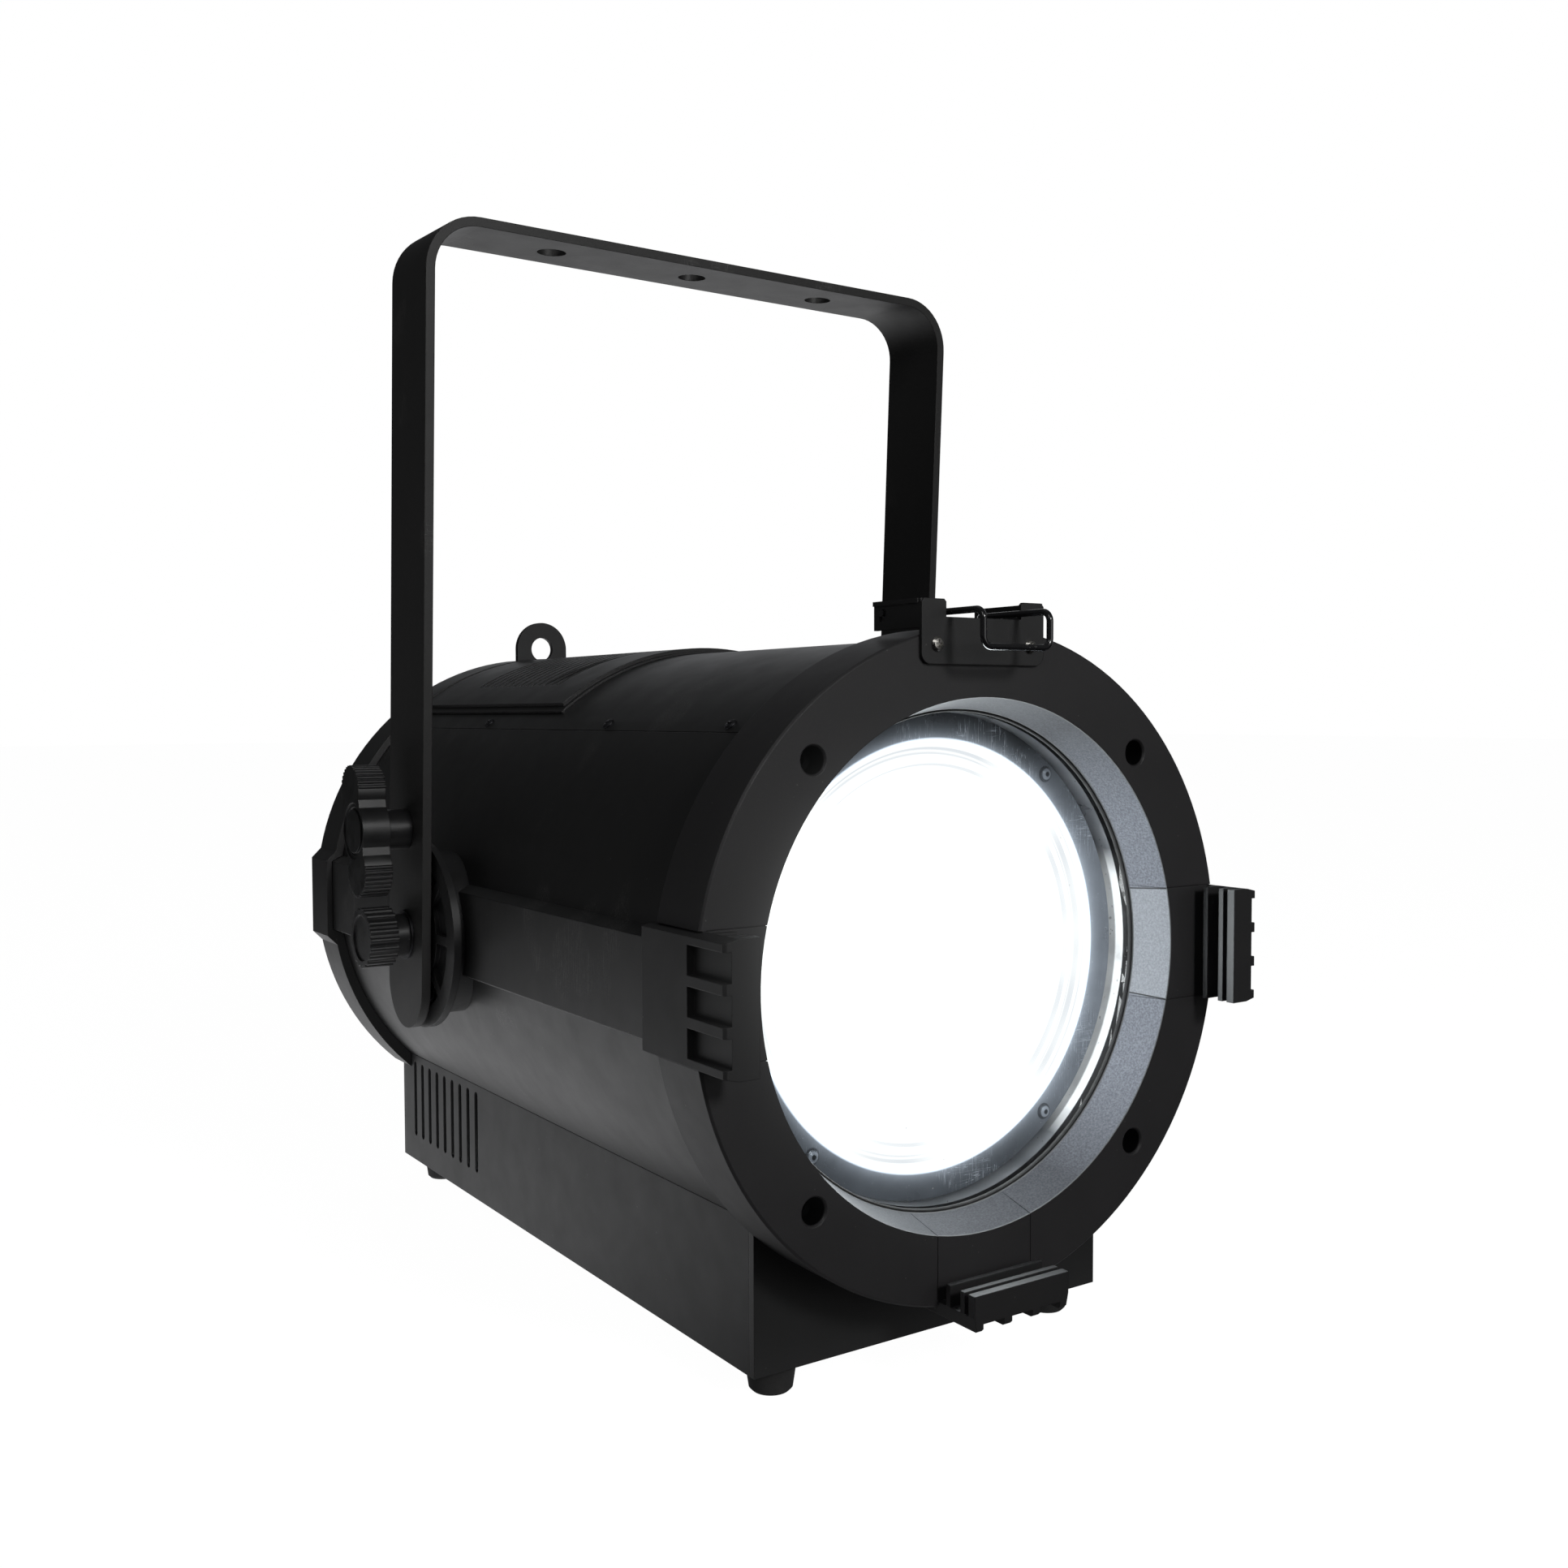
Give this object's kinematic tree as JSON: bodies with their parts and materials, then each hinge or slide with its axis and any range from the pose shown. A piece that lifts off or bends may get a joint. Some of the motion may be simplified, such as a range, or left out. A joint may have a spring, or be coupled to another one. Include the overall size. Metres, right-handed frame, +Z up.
{
  "type": "stage spotlight",
  "caption": "LED stage spotlight with a round stepped lens, a flat steel hanging yoke, a base box on feet, accessory frame slots and a wire latch.",
  "frame": {"origin": "centre of the yoke bar's middle hanging hole, at the bar's top face", "axes": "+Z up with the fixture standing level on its feet, +Y from the front ring towards the back, +X to the right seen from the front"},
  "size_m": [0.325, 0.4175, 0.4614],
  "materials": {
    "steel_coat": "black powder coat over steel bar",
    "knob_plastic": "moulded black plastic",
    "bright_steel": "plain steel",
    "nickel": "nickel-plated",
    "bare_aluminium": "plain aluminium",
    "powder_coat": "fine black powder coat",
    "rubber": "black rubber",
    "clear_glass": "clear glass",
    "satin_black": "glossy black",
    "wire_black": "glossy black steel wire",
    "lens_glass": "clear stepped lens",
    "brass": "plain brass",
    "plated_steel": "zinc-plated sheet",
    "mirror_aluminium": "polished reflector",
    "board": "printed circuit board",
    "fan_plastic": "black plastic",
    "window": "dark display window",
    "button_plastic": "grey plastic",
    "socket_plastic": "black plastic sockets",
    "cable": "black cable sheath"
  },
  "bodies": {
    "yoke": {"yoke": "steel_coat"},
    "housing": {"tilt_disc_left": "knob_plastic", "tilt_disc_right": "knob_plastic", "tilt_disc_screws": "nickel", "pivot_blocks": "bare_aluminium", "side_shell_left": "powder_coat", "side_shell_right": "powder_coat", "top_cover": "powder_coat", "cover_screws": "nickel", "vent_cover": "powder_coat", "front_plate": "powder_coat", "bezel": "powder_coat", "bezel_screws": "bright_steel", "glass_gasket": "rubber", "front_glass": "clear_glass", "glass_retainer": "satin_black", "bracket_left": "powder_coat", "bracket_right": "powder_coat", "bracket_bottom": "powder_coat", "bracket_screws": "nickel", "latch_housing": "steel_coat", "latch_screws": "nickel", "base_box": "powder_coat", "feet": "rubber", "rear_cap": "powder_coat", "case_screws": "nickel", "safety_eye": "steel_coat", "tie_rods": "bright_steel", "guide_rods": "bright_steel", "mid_plate": "plated_steel", "reflector": "mirror_aluminium", "led_board": "board", "heat_sink": "bare_aluminium", "fan_frame": "fan_plastic", "power_supply": "plated_steel", "led_driver": "board", "control_board": "board", "display_window": "window", "rear_connectors": "socket_plastic", "wiring": "cable"},
    "lock_left": {"lock_knob_left": "knob_plastic", "lock_stud_left": "bright_steel"},
    "lock_right": {"lock_knob_right": "knob_plastic", "lock_stud_right": "bright_steel"},
    "pivot_left": {"pivot_knob_left": "knob_plastic", "pivot_bolt_left": "bright_steel"},
    "pivot_right": {"pivot_knob_right": "knob_plastic", "pivot_bolt_right": "bright_steel"},
    "latch_bail": {"latch_bail": "wire_black"},
    "lens_group": {"fresnel_lens": "lens_glass", "lens_carriage": "bare_aluminium", "lens_clamp_ring": "satin_black", "zoom_nut": "brass"},
    "zoom_drive": {"lead_screw": "bright_steel", "zoom_knob": "knob_plastic"},
    "fan_rotor": {"fan_rotor": "fan_plastic"},
    "button_menu": {"button_menu": "button_plastic"},
    "button_up": {"button_up": "button_plastic"},
    "button_down": {"button_down": "button_plastic"},
    "button_enter": {"button_enter": "button_plastic"}
  },
  "joints": [
    {"name": "tilt", "type": "hinge", "parent": "yoke", "child": "housing", "pos_m": [0, 0.0161, -0.30718], "axis": [1, 0, 0], "range_deg": [-90, 100]},
    {"name": "lock_left_turn", "type": "hinge", "parent": "yoke", "child": "lock_left", "pos_m": [-0.139, 0.01365, -0.26044], "axis": [-1, 0, 0], "range_deg": [-30, 360]},
    {"name": "lock_right_turn", "type": "hinge", "parent": "yoke", "child": "lock_right", "pos_m": [0.139, 0.01365, -0.26044], "axis": [1, 0, 0], "range_deg": [-30, 360]},
    {"name": "pivot_left_turn", "type": "hinge", "parent": "housing", "child": "pivot_left", "pos_m": [-0.139, 0.0161, -0.30718], "axis": [-1, 0, 0], "range_deg": [-30, 360]},
    {"name": "pivot_right_turn", "type": "hinge", "parent": "housing", "child": "pivot_right", "pos_m": [0.139, 0.0161, -0.30718], "axis": [1, 0, 0], "range_deg": [-30, 360]},
    {"name": "bail_lift", "type": "hinge", "parent": "housing", "child": "latch_bail", "pos_m": [-0.0025, -0.1889, -0.17398], "axis": [-1, 0, 0], "range_deg": [0, 105]},
    {"name": "zoom_slide", "type": "slide", "parent": "housing", "child": "lens_group", "axis": [0, 1, 0], "range_m": [0, 0.06]},
    {"name": "zoom_turn", "type": "hinge", "parent": "housing", "child": "zoom_drive", "pos_m": [0, 0.1801, -0.41218], "axis": [0, 1, 0], "range_deg": [0, 1080.5]},
    {"name": "fan_spin", "type": "hinge", "parent": "housing", "child": "fan_rotor", "pos_m": [0, 0.1081, -0.29018], "axis": [0, 1, 0], "continuous": true},
    {"name": "press_menu", "type": "slide", "parent": "housing", "child": "button_menu", "axis": [0, -1, 0], "range_m": [0, 0.0008], "stiffness_N_per_m": 400},
    {"name": "press_up", "type": "slide", "parent": "housing", "child": "button_up", "axis": [0, -1, 0], "range_m": [0, 0.0008], "stiffness_N_per_m": 400},
    {"name": "press_down", "type": "slide", "parent": "housing", "child": "button_down", "axis": [0, -1, 0], "range_m": [0, 0.0008], "stiffness_N_per_m": 400},
    {"name": "press_enter", "type": "slide", "parent": "housing", "child": "button_enter", "axis": [0, -1, 0], "range_m": [0, 0.0008], "stiffness_N_per_m": 400}
  ],
  "couplings": [
    {"joint": "zoom_turn", "follows": "zoom_slide", "rad_per_m": 314.16}
  ]
}
